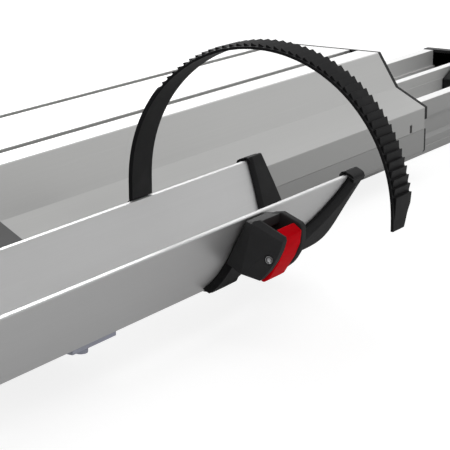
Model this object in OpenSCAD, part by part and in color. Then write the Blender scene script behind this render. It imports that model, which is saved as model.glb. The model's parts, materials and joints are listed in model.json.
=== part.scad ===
// Slide-out bike carrier. X runs along the rails and the rear end is +X.
// Y runs across and the near side is -Y.
// Z is up. The origin is on the floor at the middle of the fixed rail. Millimetres.

/* [Fixed rail] */
// Length of the fixed rail
base_len = 1800; // [1500:50:2200]
// Overall width across the outer ribs
base_w = 121; // [116:1:136]
// Height of the three ribs
base_h = 46.2; // [44:0.2:48]
// Thickness of the floor between the ribs
base_floor = 4; // [3:0.5:6]
// Width of each outer rib
rib_w = 10.2; // [9:0.2:12]
// Width of the middle rib
mid_rib_w = 7.5; // [6:0.5:9]
// Depth of the guide groove in each outer face
groove_deep = 3; // [2:0.25:3.5]
// Lower edge of the guide groove
groove_low = 12.3; // [10:0.1:14]
// Upper edge of the guide groove
groove_high = 31.8; // [30:0.1:33]
// Thickness of the end caps of the fixed rail
base_cap_t = 10; // [6:1:16]
// Radius of the holes for the floor screws
floor_hole_r = 3.3; // [2.5:0.1:4]
// Distance between the holes along the rail
floor_hole_dx = 1500; // [1200:50:1500]
// Distance between the holes across the rail
floor_hole_dy = 24; // [20:1:28]

/* [Carriage] */
// Length of the carriage
deck_len = 1800; // [1500:50:1900]
// Distance that the carriage stands drawn out
drawn_out = 331; // [250:1:450]
// Distance that the carriage can still be drawn out from there
draw_more = 865; // [400:5:900]
// Height of the flat top above the floor
deck_top_z = 98; // [92:0.5:104]
// Width of each steep face, seen from above
steep_w = 16.8; // [12:0.1:22]
// Width of each slope between the upright side and the steep face
slope_w = 26.3; // [22:0.1:30]
// Height of the foot of the steep face
deck_mid_z = 71.3; // [68:0.1:74]
// Gap between the fixed rail and the side rails
side_gap = 4.3; // [3.5:0.1:6]
// Height of the edge between the slope and the upright side
deck_edge_z = 57.5; // [55:0.1:60]
// Wall of the cover
deck_wall = 3; // [2.5:0.25:3.5]
// Distance between the two slots in the top
slot_dy = 67.4; // [60:0.2:74]
// Width of the mouth of each slot
slot_mouth = 7.3; // [6:0.1:9]
// Thickness of the lips of each slot
slot_lip = 2.6; // [2:0.1:3.5]
// Width of the hollow below the lips
slot_wide = 13; // [11.5:0.5:15]
// Height of the hollow below the lips
slot_tall = 5.2; // [4.6:0.2:6]
// Top of the side rails
side_top_z = 40; // [38:0.1:41]
// Underside of the side rails
side_low_z = 20; // [18:0.5:21]
// Width of each side rail
side_w = 34; // [30:0.5:35]
// Wall of the side rails
side_wall = 3; // [2.5:0.25:3.5]
// Thickness of the black end trims
trim_t = 3.2; // [2:0.2:5]

/* [Running gear] */
// Radius of the rollers
roller_r = 15; // [13:0.5:16]
// Width of the rollers
roller_w = 15; // [12:0.5:17]
// Radius of the roller axles
axle_r = 4; // [3:0.5:5]
// Place of the inner pair of rollers from the rear end of the carriage
roller_inner = 479; // [420:1:520]
// Place of the outer pair of rollers from the rear end of the carriage
roller_outer = 69; // [60:1:120]
// Height of the cross members above the floor
cross_z = 49.4; // [49:0.1:51]
// Thickness of the cross members
cross_t = 3; // [2:0.5:3]
// Length of each cross member along the carriage
cross_len = 60; // [56:1:90]

/* [Wheel gutters] */
// Length of each gutter
gutter_len = 1300; // [1100:10:1400]
// Place of the gutters' rear ends from the carriage's rear end
gutter_back = 300; // [250:1:340]
// Width across the two rims
gutter_w = 77.8; // [70:0.2:86]
// Height of the rims above the floor
rim_z = 74.6; // [72:0.1:78]
// Depth of the gutter
gutter_h = 43.2; // [40:0.1:46]
// Lean of the gutter's walls from upright
gutter_lean = 26; // [22:0.5:28]
// Wall of the gutter
gutter_wall = 3.2; // [2.5:0.1:4]
// Gap between the carriage and each gutter
gutter_gap = 16.2; // [14:0.1:20]

/* [Cross arms] */
// Place of the first arms from the gutters' rear ends
arm_back = 244; // [235:1:300]
// Width of the arm's plate along the carriage
arm_w = 83; // [70:1:110]
// Thickness of the arm's plate
arm_t = 3; // [2:0.5:4]
// Width of the flat bar below each gutter
bar_w = 38; // [30:1:50]
// Thickness of the flat bar
bar_t = 4; // [3:0.5:5]
// Radius of the gutter bolts' round ends
bolt_end_r = 3.8; // [3:0.1:4.5]

/* [Wheel holders] */
// Thickness of the holder's shell
shell_t = 5; // [4:0.5:6]
// Reach of the holder's far arm past the gutter's end
arm_past = 13; // [8:1:20]
// Reach of its near hook past the gutter's end
hook_past = 7; // [4:1:12]
// Place of the strap from the gutter's end
strap_back = 120.5; // [112:0.5:128]
// Width of the strap
strap_w = 18.5; // [16:0.5:21]
// Radius of the strap's bend over the wheel
strap_r = 84; // [76:1:92]
// Thickness of the strap's smooth ends
strap_t = 2.8; // [2.2:0.1:3.4]
// Height of the strap's teeth
tooth_h = 1.8; // [1:0.1:2.2]
// Pitch of the strap's teeth
tooth_pitch = 4.6; // [4:0.1:8]
// Thickness of the buckle's cheeks
cheek_t = 5; // [4:0.25:6]
// Clearance between the strap or lever and each cheek
cheek_gap = 0.75; // [0.5:0.05:1]
// Radius of the lever's pin
lever_pin_r = 2.2; // [1.5:0.1:2.4]

/* [Release] */
// Width of the catch blocks
catch_w = 11; // [9:0.5:12]
// Travel of the release handle
pull_travel = 6; // [5:0.5:7]
// Width of the release handle's grip
grip_w = 96; // [80:1:100]
// Radius of the release rod
rod_r = 4; // [3:0.5:5]

/* [Hidden] */
$fn = 48;
fit = 0.2;              // clearance between pieces that are fixed to each other
pin_gap = 0.08;         // radial clearance of a pin in a hole that turns on it
run = 0.5;              // clearance between pieces that slide past each other

base_x = base_len / 2;
deck_x1 = base_x - drawn_out;
deck_x0 = deck_x1 - deck_len;
hook_x = deck_x1 - gutter_back;
gutter_mid_x = hook_x - gutter_len / 2;
side_y = base_w / 2 + side_gap + side_w;
deck_w = 2 * side_y;
deck_mid_w = deck_w - 2 * slope_w;
deck_top_w = deck_mid_w - 2 * steep_w;
channel_in = mid_rib_w / 2;
channel_out = base_w / 2 - rib_w;
roller_y = channel_out - 20.3;
gutter_y = side_y + gutter_gap + gutter_w / 2;
lean_run = gutter_h * tan(gutter_lean);
gutter_low_z = rim_z - gutter_h;
gutter_low_w = gutter_w - 2 * lean_run;
arm_x = hook_x - arm_back;

// Points of an open path moved sideways by t, to its left, with mitred corners
function unit(v) = v / norm(v);
function left_of(a, b) = let (d = unit(b - a)) [-d.y, d.x];
function corner_shift(n1, n2, t) = (n1 + n2) * t / (1 + n1 * n2);
function shifted(p, t) = [for (i = [0 : len(p) - 1])
    i == 0 ? p[0] + left_of(p[0], p[1]) * t
    : i == len(p) - 1 ? p[i] + left_of(p[i - 1], p[i]) * t
    : p[i] + corner_shift(left_of(p[i - 1], p[i]), left_of(p[i], p[i + 1]), t)];
function reversed(p) = [for (i = [len(p) - 1 : -1 : 0]) p[i]];
function mirrored(p) = [for (q = reversed(p)) [-q.x, q.y]];

// A YZ outline drawn along X, from x0 to x1
module along_x(x0, x1) translate([x0, 0, 0]) rotate([90, 0, 90]) linear_extrude(x1 - x0) children();
// A round bar along Y or X
module bar_y(x, z, r, y0, y1) translate([x, y1, z]) rotate([90, 0, 0]) cylinder(r = r, h = y1 - y0);
module bar_x(y, z, r, x0, x1) translate([x0, y, z]) rotate([0, 90, 0]) cylinder(r = r, h = x1 - x0);
module block(lo, hi) translate(lo) cube(hi - lo);
module both_sides() for (s = [0, 1]) mirror([0, s, 0]) children();
// The four wheel holders are one shape, drawn at the near rear corner
module at_corner(far, front)
    mirror([0, far, 0])
    translate([front * 2 * gutter_mid_x, 0, 0]) mirror([front, 0, 0])
    children();
module four_corners() for (far = [0, 1], front = [0, 1]) at_corner(far, front) children();

// Fixed rail
base_step = 0.8;
rib_step = 0.4;
lip_z = 28;
lip_t = 3;
lip_out = 2;
rib_hollow = 2;
base_half = [
    [base_w / 2 + base_step, 0],
    [base_w / 2 + base_step, 6],
    [base_w / 2, 6.5],
    [base_w / 2, groove_low],
    [base_w / 2 - groove_deep, groove_low + groove_deep],
    [base_w / 2 - groove_deep, groove_high],
    [base_w / 2, groove_high],
    [base_w / 2, base_h],
    [channel_out, base_h],
    [channel_out, lip_z + lip_t],
    [channel_out - lip_out, lip_z + lip_t],
    [channel_out - lip_out, lip_z],
    [channel_out, lip_z],
    [channel_out, base_floor],
    [channel_in + rib_step, base_floor],
    [channel_in + rib_step, base_h - 9],
    [channel_in, base_h - 9],
    [channel_in, base_h]];

module base_outline() polygon(concat(base_half, mirrored(base_half)));

module base_rail() color("silver") difference() {
    along_x(-base_x, base_x) base_outline();
    both_sides() block([-base_x - 1, channel_out + rib_hollow, 6.5],
        [base_x + 1, base_w / 2 - groove_deep - rib_hollow, base_h - rib_hollow]);
    floor_holes() cylinder(r = floor_hole_r, h = 3 * base_floor, center = true);
}

module floor_holes()
    for (x = [-floor_hole_dx / 2, floor_hole_dx / 2], y = [-floor_hole_dy / 2, floor_hole_dy / 2])
    translate([x, y, 0]) children();

// End cap: a plate over the ribs, bridges in the channels and open windows below them
bridge_z = lip_z + lip_t + 1;
module base_cap() difference() {
    union() {
        along_x(0, base_cap_t) difference() {
            translate([-base_w / 2 - base_step, 0]) square([base_w + 2 * base_step, base_h + 0.8]);
            for (s = [-1, 1])
                translate([s * (channel_in + channel_out) / 2, base_floor + (bridge_z - base_floor) / 2])
                square([channel_out - channel_in - 1.2, bridge_z - base_floor], center = true);
        }
        both_sides() block([-12, channel_out + rib_hollow + fit, 7],
            [0, base_w / 2 - groove_deep - rib_hollow - fit, base_h - rib_hollow - 0.5]);
    }
}
module base_cap_rear() color("black") translate([base_x, 0, 0]) base_cap();
module base_cap_front() color("black") mirror([1, 0, 0]) translate([base_x, 0, 0]) base_cap();

// Places of the latch, which stands behind the rear cross member over the near channel
catch_y = channel_in + rib_step + fit;
in_gap = 1;
latch_gap = 1;
latch_reach = 22;
latch_nose_x = deck_x1 - 29;
latch_nose_len = 12;
latch_nose_z = base_h + 0.7;
latch_lug = 24;
latch_x = latch_nose_x - latch_reach;
latch_z = cross_z + cross_t + 9;
latch_t = 5;
latch_y = -catch_y - catch_w / 2;
latch_pin_r = 3;
rod_y = latch_y;
rod_z = latch_z + latch_lug;
link_r = 2;
// The nose swings back by this much as it drops
latch_drop = pull_travel / latch_lug * 180 / PI;
nose_back = latch_reach * (1 - cos(latch_drop)) + (latch_z - latch_nose_z) * sin(latch_drop);

// Catch blocks beside the middle rib: a ramp, then an upright face that holds the latch
catch_ramp = 24;
catch_rear_x = base_x - 95;
catch_len = latch_nose_x + drawn_out - in_gap - latch_gap - nose_back - catch_rear_x;
catch_top = base_h - 0.4;
catch_foot_z = base_h - 9.8;
module catch_block() translate([0, -catch_y, base_floor]) rotate([90, 0, 0]) linear_extrude(catch_w)
    polygon([[0, 0], [0, catch_foot_z - base_floor], [catch_ramp, catch_top - base_floor],
        [catch_len, catch_top - base_floor], [catch_len, 0]]);
module catch_rear() color("black") translate([catch_rear_x, 0, 0]) catch_block();
catch_front_x = latch_nose_x + latch_nose_len - draw_more + latch_gap + catch_len;
module catch_front() color("black") translate([catch_front_x, 0, 0]) mirror([1, 0, 0]) catch_block();

// Glides at the front end of the fixed rail, which carry the side rails
glide_len = 60;
glide_x = -base_x + 20;
glide_z0 = side_low_z + side_wall + run;
glide_z1 = side_top_z - side_wall - run;
module front_glides() color("black") both_sides() {
    block([glide_x, base_w / 2 - groove_deep, glide_z0],
        [glide_x + glide_len, side_y - side_wall - run, min(glide_z1, groove_high)]);
    block([glide_x, base_w / 2 + run, glide_z0], [glide_x + glide_len, side_y - side_wall - run, glide_z1]);
}

// Carriage
deck_half = [
    [side_y, side_top_z + fit],
    [side_y, deck_edge_z],
    [deck_mid_w / 2, deck_mid_z],
    [deck_top_w / 2, deck_top_z]];
flange_w = 16;
module cover_outline() difference() {
    polygon(concat(deck_half, mirrored(deck_half)));
    let (inner = shifted(deck_half, deck_wall)) polygon(concat(
        [[inner[0].x, side_top_z - 1]], [for (i = [1 : 3]) inner[i]],
        mirrored([for (i = [1 : 3]) inner[i]]), [[-inner[0].x, side_top_z - 1]]));
}
module slot_shell() translate([-slot_wide / 2 - deck_wall, deck_top_z - slot_lip - slot_tall - deck_wall])
    square([slot_wide + 2 * deck_wall, slot_lip + slot_tall + deck_wall]);
module slot_hollow() {
    translate([-slot_wide / 2, deck_top_z - slot_lip - slot_tall]) square([slot_wide, slot_tall]);
    translate([-slot_mouth / 2, deck_top_z - slot_lip - 0.01]) square([slot_mouth, slot_lip + 1]);
}

notch_x = deck_x1 - 26.4;
notch_len = 4.2;
notch_tall = 6.3;
module deck_cover() color("white") difference() {
    along_x(deck_x0, deck_x1) difference() {
        union() {
            cover_outline();
            for (s = [-1, 1]) translate([s * slot_dy / 2, 0]) slot_shell();
            for (s = [-1, 1]) translate([s * (side_y - flange_w / 2), side_top_z + fit + deck_wall / 2])
                square([flange_w, deck_wall], center = true);
        }
        for (s = [-1, 1]) translate([s * slot_dy / 2, 0]) slot_hollow();
    }
    both_sides() block([notch_x, side_y - deck_wall - 2, side_top_z + 0.8],
        [notch_x + notch_len, side_y + 1, side_top_z + 0.8 + notch_tall]);
    both_sides() translate([deck_x1 + 0.01, side_y - deck_wall - 0.5, side_top_z + fit])
        rotate([90, 0, 180]) translate([0, 0, -deck_wall - 2]) linear_extrude(deck_wall + 3)
        polygon([[-1, -1], [16, -1], [16, 0], [0, 2.2], [-1, 2.2]]);
    arm_screw_places() cylinder(r = arm_screw_r + fit, h = 30, center = true);
    flange_screw_places() cylinder(r = 2.6 + fit, h = 12, center = true);
}

// Plate that closes the end of the cover and leaves the fixed rail's way free
cap_low_z = side_top_z + 7.6;
module deck_cap_outline() {
    proud = shifted(deck_half, -0.3);
    polygon(concat([[base_w / 2 + base_step + 3, cap_low_z], [proud[0].x, cap_low_z]],
        [for (i = [1 : 3]) proud[i]], mirrored([for (i = [1 : 3]) proud[i]]),
        [[-proud[0].x, cap_low_z], [-base_w / 2 - base_step - 3, cap_low_z],
        [-base_w / 2 - base_step - 3, cross_z], [base_w / 2 + base_step + 3, cross_z]]));
}
module deck_cap(x0, x1) along_x(x0, x1) deck_cap_outline();
module slot_plugs(x0, x1) for (s = [-1, 1]) along_x(x0, x1) translate([s * slot_dy / 2, 0])
    translate([-slot_wide / 2 + fit, deck_top_z - slot_lip - slot_tall + fit])
    square([slot_wide - 2 * fit, slot_tall - 2 * fit]);
module deck_cap_rear() color("black") {
    deck_cap(deck_x1, deck_x1 + trim_t);
    slot_plugs(deck_x1 - 10, deck_x1);
}
module deck_cap_front() color("black") difference() {
    union() {
        deck_cap(deck_x0 - trim_t, deck_x0);
        slot_plugs(deck_x0, deck_x0 + 10);
    }
    bar_x(rod_y, rod_z, rod_r + 0.4, deck_x0 - trim_t - 1, deck_x0 + 1);
}

side_round = 3.5;
module side_outer() translate([0, side_low_z]) foot_round(side_w, side_top_z - side_low_z, side_round);
// A rectangle whose lower outer corner is round
module foot_round(w, h, r) difference() {
    square([w, h]);
    difference() {
        translate([w - r, -1]) square([r + 1, r + 1]);
        translate([w - r, r]) circle(r = r);
    }
}
side_in_y = side_y - side_w;
module side_rails() color("silver") difference() {
    both_sides() along_x(deck_x0, deck_x1) translate([side_in_y, 0]) difference() {
        side_outer();
        translate([-1, side_low_z + side_wall])
            square([side_w - side_wall + 1, side_top_z - side_low_z - 2 * side_wall]);
    }
    flange_screw_places() cylinder(r = 2.6 + fit, h = 12, center = true);
    cross_screw_places() cylinder(r = 2.6 + fit, h = 12, center = true);
}
module side_rail_caps() color("black") both_sides() for (x = [deck_x0 - trim_t, deck_x1])
    along_x(x, x + trim_t) translate([side_in_y, 0]) side_outer();

// Screws through the cover's inner flanges into the side rails
flange_y = side_y - flange_w + 6;
flange_screw_n = 7;
screw_end = 60;
module flange_screw_places() for (s = [-1, 1], i = [0 : flange_screw_n - 1])
    translate([deck_x0 + screw_end + i * (deck_len - 2 * screw_end) / (flange_screw_n - 1), s * flange_y,
    side_top_z]) children();

// Cross members: bent steel that joins the side rails over the fixed rail
last_cross = 160;
function cross_places() = [deck_x1 - roller_outer, deck_x1 - roller_inner, gutter_mid_x,
    deck_x0 + last_cross];
cross_leg_y = base_w / 2 + 7;
cross_half = [
    [side_y - flange_w - 1, side_top_z + 0.1],
    [cross_leg_y, side_top_z + 0.1],
    [cross_leg_y, cross_z]];
cross_path = concat(cross_half, mirrored(cross_half));
module cross_members() color("gray") difference() {
    for (x = cross_places()) along_x(x - cross_len / 2, x + cross_len / 2)
        polygon(concat(cross_path, reversed(shifted(cross_path, -cross_t))));
    cross_screw_places() cylinder(r = 2.6 + fit, h = 12, center = true);
}
cross_screw_y = cross_leg_y + cross_t + 5;
module cross_screw_places() for (x = cross_places(), s = [-1, 1], e = [-1, 1])
    translate([x + e * (cross_len / 2 - 12), s * cross_screw_y, side_top_z]) children();
module flat_screw(grip) {
    translate([0, 0, -side_wall]) cylinder(r = 2.6, h = side_wall + grip + 0.1);
    translate([0, 0, grip + 0.1]) cylinder(r = 4.4, h = 2.4);
}
module cross_screws() color("dimgray") {
    cross_screw_places() flat_screw(cross_t + 0.1);
    flange_screw_places() flat_screw(deck_wall + fit);
}

// Running gear
roller_z = base_floor + roller_r + 0.3;
bracket_t = 2.5;
bracket_in = roller_w / 2 + 0.6;
function roller_x(outer) = deck_x1 - (outer == 1 ? roller_outer : roller_inner);
module roller_brackets() color("lightgray") for (outer = [0, 1], s = [0, 1]) mirror([0, s, 0])
    translate([roller_x(outer), 0, 0]) difference() {
        union() {
            for (e = [-1, 1]) translate([0, roller_y + e * (bracket_in + bracket_t / 2), 0])
                rotate([90, 0, 0]) linear_extrude(bracket_t, center = true)
                polygon([[-20, cross_z], [20, cross_z], [20, cross_z - 6], [7, roller_z - 7],
                [-7, roller_z - 7],
                    [-20, cross_z - 6]]);
            block([-20, roller_y - bracket_in - bracket_t, cross_z - bracket_t],
                [20, roller_y + bracket_in + bracket_t, cross_z]);
        }
        bar_y(0, roller_z, axle_r + 0.05, roller_y - 30, roller_y + 30);
        translate([0, roller_y, roller_z]) rotate([90, 0, 0])
            cylinder(r = roller_r + 1, h = 2 * bracket_in, center = true);
    }
module roller_axles() color("silver") for (outer = [0, 1]) both_sides()
    bar_y(roller_x(outer), roller_z, axle_r, roller_y - bracket_in - bracket_t - 1,
        roller_y + bracket_in + bracket_t + 1);
module roller(outer) translate([roller_x(outer), -roller_y, roller_z]) rotate([90, 0, 0]) rotate_extrude()
    polygon([[axle_r + pin_gap, -roller_w / 2], [roller_r - 1, -roller_w / 2], [roller_r, -roller_w / 2 + 1],
        [roller_r, roller_w / 2 - 1], [roller_r - 1, roller_w / 2], [axle_r + pin_gap, roller_w / 2]]);
module roller_near_inner() color("dimgray") roller(0);
module roller_near_outer() color("dimgray") roller(1);
module roller_far_inner() color("dimgray") mirror([0, 1, 0]) roller(0);
module roller_far_outer() color("dimgray") mirror([0, 1, 0]) roller(1);

// Pads in the side rails that run in the fixed rail's grooves
pad_len = 40;
module groove_pads() color("black") both_sides() for (x = cross_places())
    if (x > deck_x1 - roller_inner - 1) {
        block([x - pad_len / 2, side_in_y, side_low_z + side_wall + 0.1],
            [x + pad_len / 2, side_y - side_wall - 0.1, side_top_z - side_wall - 0.1]);
        block([x - pad_len / 2, base_w / 2 - groove_deep + run, side_low_z + side_wall + 0.1],
            [x + pad_len / 2, side_in_y, groove_high - run]);
    }

// Arms and gutters
arm_screw_r = 3;
slope_turn = atan2(deck_mid_z - deck_edge_z, side_y - deck_mid_w / 2);
bar_in_y = side_y + arm_t + 1.5;
gutter_near_y = gutter_y + gutter_low_w / 2;
shelf_z = gutter_low_z - bar_t;
arm_gap = 0.3;
arm_path = shifted([
    [deck_mid_w / 2, deck_mid_z],
    [side_y, deck_edge_z],
    [side_y, shelf_z - arm_t - arm_gap],
    [gutter_y - 4, shelf_z - arm_t - arm_gap]], arm_gap);
module arms() for (front = [0, 1], s = [0, 1]) mirror([0, s, 0])
    translate([front * 2 * gutter_mid_x, 0, 0]) mirror([front, 0, 0]) translate([arm_x, 0, 0]) children();
module arm_plates() color("dimgray") difference() {
    arms() along_x(-arm_w / 2, arm_w / 2) polygon(concat(arm_path, reversed(shifted(arm_path, arm_t))));
    arm_screw_places() cylinder(r = arm_screw_r + fit, h = 30, center = true);
    bar_screw_places() cylinder(r = 2.5 + fit, h = 30, center = true);
}
module arm_screw_places() arms() for (x = [-arm_w / 2 + 24, arm_w / 2 - 24])
    translate([x, side_y - 13, deck_edge_z + 13 * tan(slope_turn)]) rotate([-slope_turn, 0, 0]) children();
module arm_screws() color("silver") arm_screw_places() {
    translate([0, 0, -deck_wall]) cylinder(r = arm_screw_r, h = deck_wall + arm_gap + arm_t + 0.02);
    translate([0, 0, arm_gap + arm_t + 0.02]) cylinder(r1 = 1.8 * arm_screw_r, r2 = 1.2 * arm_screw_r, h = 3);
}
module gutter_bars() color("lightsteelblue") difference() {
    arms() block([-bar_w / 2, bar_in_y, shelf_z], [bar_w / 2, gutter_near_y, gutter_low_z]);
    bar_screw_places() cylinder(r = 2.5 + fit, h = 30, center = true);
    bolt_places() cylinder(r = 2.5 + fit, h = 30, center = true);
}
module bar_screw_places() arms() for (x = [-bar_w / 2 + 9, bar_w / 2 - 9])
    translate([x, side_y + 9.5, shelf_z]) children();
module bar_screws() color("silver") bar_screw_places() {
    translate([0, 0, -arm_t]) cylinder(r = 2.5, h = bar_t + arm_t);
    translate([0, 0, bar_t]) cylinder(r = 4.4, h = 2.6);
    translate([0, 0, -arm_t - 4]) cylinder(r = 4.6, h = 4, $fn = 6);
}
bolt_out = 11;
module bolt_places() arms() translate([-3, gutter_y + bolt_out, gutter_low_z]) children();
module gutter_bolts() color("lightsteelblue") bolt_places() {
    translate([0, 0, -bar_t]) cylinder(r = 2.5, h = bar_t + gutter_wall);
    translate([0, 0, gutter_wall]) cylinder(r1 = 4.8, r2 = 3, h = 2.4);
    translate([0, 0, -bar_t - 5.5]) cylinder(r = bolt_end_r, h = 5.5);
}

rim_cut = 0.7;
module gutter_outline() {
    inner = [[gutter_w / 2 - gutter_wall / cos(gutter_lean), rim_z],
        [gutter_low_w / 2 - gutter_wall / cos(gutter_lean) + gutter_wall * tan(gutter_lean),
        gutter_low_z + gutter_wall]];
    polygon(concat([[-gutter_low_w / 2, gutter_low_z], [gutter_low_w / 2, gutter_low_z],
        [gutter_w / 2 - rim_cut * tan(gutter_lean), rim_z - rim_cut], [gutter_w / 2 - rim_cut, rim_z]], inner,
        mirrored(inner), [[-gutter_w / 2 + rim_cut, rim_z],
        [-gutter_w / 2 + rim_cut * tan(gutter_lean), rim_z - rim_cut]]));
}
module gutter() difference() {
    along_x(hook_x - gutter_len, hook_x) translate([-gutter_y, 0]) gutter_outline();
    bolt_places() cylinder(r = 2.5 + fit, h = 12, center = true);
}
module gutter_near() color("lightgray") gutter();
module gutter_far() color("lightgray") mirror([0, 1, 0]) gutter();

// Wheel holders, drawn at the near rear corner
near_rim_y = -gutter_y - gutter_w / 2;
far_rim_y = -gutter_y + gutter_w / 2;
// Flat outlines laid on the gutter's two leaning walls: x along the gutter, y up the wall from the rim
module on_near_wall(gap, t) translate([hook_x, near_rim_y, rim_z]) rotate([90 + gutter_lean, 0, 0])
    translate([0, 0, gap]) linear_extrude(t) children();
module on_far_wall(gap, t) translate([hook_x, far_rim_y, rim_z]) rotate([90 - gutter_lean, 0, 0])
    translate([0, 0, -gap - t]) linear_extrude(t) children();
wall_len = gutter_h / cos(gutter_lean);
plate_low = -wall_len + 2.6;
hook_up = 2.6;
lip_in = -gutter_wall - 3.4;
lip_thick = 3.2;
lip_deep = 40;
saddle_y = gutter_low_w / 2 + 6;
saddle_z = gutter_low_z - fit - shell_t;
tab_z = gutter_low_z + 3.1;
function wall_y(z, off) = near_rim_y + (rim_z - z) * tan(gutter_lean) - off / cos(gutter_lean);
// Curved arm, plate behind the buckle, and the foot at the plate's left
plate_outline = [[hook_past, hook_up], [4, -3], [1.4, -10], [-2, -20], [-6.2, -34], [-11, -41], [-19, -44.4],
    [-30, plate_low], [-100, plate_low], [-104, -42], [-110, -41], [-119, plate_low], [-143, plate_low],
    [-136, -43], [-131.5, -38], [-128.5, -30], [-127.5, -17], [-126.5, -4], [-100, -4], [-84, -22],
    [-60, -33.5], [-48, -33], [-37.5, -29.3], [-26.7, -23], [-17.6, -15.5], [-10.8, -8], [-7.5, -2],
    [-10, 0], [-10, hook_up]];
module holder() {
    on_near_wall(fit, shell_t) polygon(plate_outline);
    // Hook over the near rim
    on_near_wall(lip_in, -lip_in + 2 * fit)
        polygon([[-10, fit], [hook_past, fit], [hook_past, hook_up], [-10, hook_up]]);
    on_near_wall(lip_in, lip_thick)
        polygon([[-10, -4], [hook_past, -4], [hook_past, hook_up], [-10, hook_up]]);
    // Arm on the far wall, its hook, and the band that runs down inside the gutter
    on_far_wall(fit, shell_t) polygon([[-4, hook_up], [arm_past, hook_up], [arm_past, -wall_len - 3],
        [-32, -wall_len - 3], [-32, -36], [-9, -8]]);
    on_far_wall(lip_in, -lip_in + 2 * fit)
        polygon([[-6, fit], [fit, fit], [fit, 4 - lip_deep], [arm_past - 1.5, 4 - lip_deep],
            [arm_past - 3.5, hook_up], [-6, hook_up]]);
    on_far_wall(lip_in, lip_thick) polygon([[-6, hook_up], [arm_past - 3.5, hook_up],
        [arm_past - 1.5, -lip_deep], [-18.5, -lip_deep]]);
    // Saddle under the gutter. Its tab meets the near plate's foot.
    translate([hook_x, -gutter_y, saddle_z]) linear_extrude(shell_t)
        polygon([[-127, 0], [-127, -6], [-90, -6], [-36, 4], [-4, 14], [-4, saddle_y], [-34, saddle_y],
            [-70, 12]]);
    along_x(hook_x - 127, hook_x - 113) polygon([[-gutter_y, saddle_z], [-gutter_y - 15, saddle_z],
        [wall_y(gutter_low_z + 0.06, fit + shell_t), gutter_low_z + 0.06],
        [wall_y(tab_z, fit + shell_t), tab_z], [wall_y(tab_z, fit), tab_z],
        [wall_y(saddle_z + shell_t, fit), saddle_z + shell_t], [-gutter_y, saddle_z + shell_t]]);
}
module holder_near_rear() color("black") at_corner(0, 0) holder();
module holder_near_front() color("black") at_corner(0, 1) holder();
module holder_far_rear() color("black") at_corner(1, 0) holder();
module holder_far_front() color("black") at_corner(1, 1) holder();

// Buckle: two cheeks, a bridge on the wall side and a web behind, with the lever between the cheeks
strap_x = hook_x - strap_back;
cheek_in = strap_w / 2 + cheek_gap;
cheek_out = cheek_in + cheek_t;
pin_y = near_rim_y - 19.2;
pin_z = rim_z - 20;
pawl_y = near_rim_y - 8;
pawl_z = rim_z - 13.5;
shell_off = fit + shell_t + 0.05;
cheek_near = [[wall_y(rim_z, shell_off) - 0.2, rim_z], [near_rim_y - 10.8, rim_z + 1],
    [near_rim_y - 28.8, rim_z - 6.2], [near_rim_y - 29.2, rim_z - 9], [near_rim_y - 13.6, rim_z - 32.9],
    [near_rim_y - 1, rim_z - 30.9], [wall_y(rim_z - 26.4, shell_off), rim_z - 26.4]];
cheek_far = [[wall_y(rim_z, shell_off) - 0.2, rim_z], [near_rim_y - 12.6, rim_z + 1],
    [near_rim_y - 26, rim_z - 5], [near_rim_y - 26.4, rim_z - 19], [near_rim_y - 19, rim_z - 28],
    [near_rim_y - 13.6, rim_z - 32.5],
    [near_rim_y - 1, rim_z - 30.9], [wall_y(rim_z - 26.4, shell_off), rim_z - 26.4]];
slot_back = near_rim_y - 11.7;
web_z1 = rim_z - 11;
web_z0 = rim_z - 26;
function web_y(z) = near_rim_y - 4.5 + (web_z1 - z) * 0.55;
module buckle() translate([strap_x, 0, 0]) difference() {
    union() {
        along_x(-cheek_out, -cheek_in) polygon(cheek_near);
        along_x(cheek_in, cheek_out) polygon(cheek_far);
        along_x(-cheek_out + 1, cheek_out - 1) polygon([[wall_y(rim_z, shell_off) - 0.2, rim_z],
            [slot_back, rim_z + 0.4], [slot_back, rim_z - 5], [web_y(web_z1), web_z1],
            [web_y(web_z0), web_z0], [wall_y(web_z0, shell_off), web_z0]]);
    }
    bar_x(pin_y, pin_z, lever_pin_r + 0.05, -cheek_out - 1, cheek_out + 1);
    bar_x(pin_y, pin_z, lever_pin_r + 1.2, -cheek_out - 1, -cheek_out + 1.6);
    bar_x(pawl_y, pawl_z, 1.5 + 0.05, -cheek_out + 2, cheek_out - 2);
    translate([-cheek_out, near_rim_y - 12, rim_z + 1]) rotate([-21, 0, 0]) rotate([0, -45, 0])
        cube([6, 60, 5], center = true);
}
module buckle_near_rear() color("black") at_corner(0, 0) buckle();
module buckle_near_front() color("black") at_corner(0, 1) buckle();
module buckle_far_rear() color("black") at_corner(1, 0) buckle();
module buckle_far_front() color("black") at_corner(1, 1) buckle();

lever_half = strap_w / 2 + cheek_gap - 0.35;
module lever() translate([strap_x, 0, 0]) difference() {
    union() {
        along_x(-lever_half, lever_half) translate([near_rim_y, rim_z]) polygon([[-21, -3.1], [-26.6, -7.1],
            [-25.7, -14.6], [-22.4, -22.6], [-15.6, -33.4], [-12.4, -35.6], [-10.2, -34.2], [-10.8, -30.5],
            [-15.5, -23], [-17, -15], [-20, -8]]);
        bar_x(pin_y, pin_z, lever_pin_r + 2.4, -lever_half, lever_half);
    }
    bar_x(pin_y, pin_z, lever_pin_r + pin_gap, -lever_half - 1, lever_half + 1);
}
module lever_near_rear() color("red") at_corner(0, 0) lever();
module lever_near_front() color("red") at_corner(0, 1) lever();
module lever_far_rear() color("red") at_corner(1, 0) lever();
module lever_far_front() color("red") at_corner(1, 1) lever();

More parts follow.
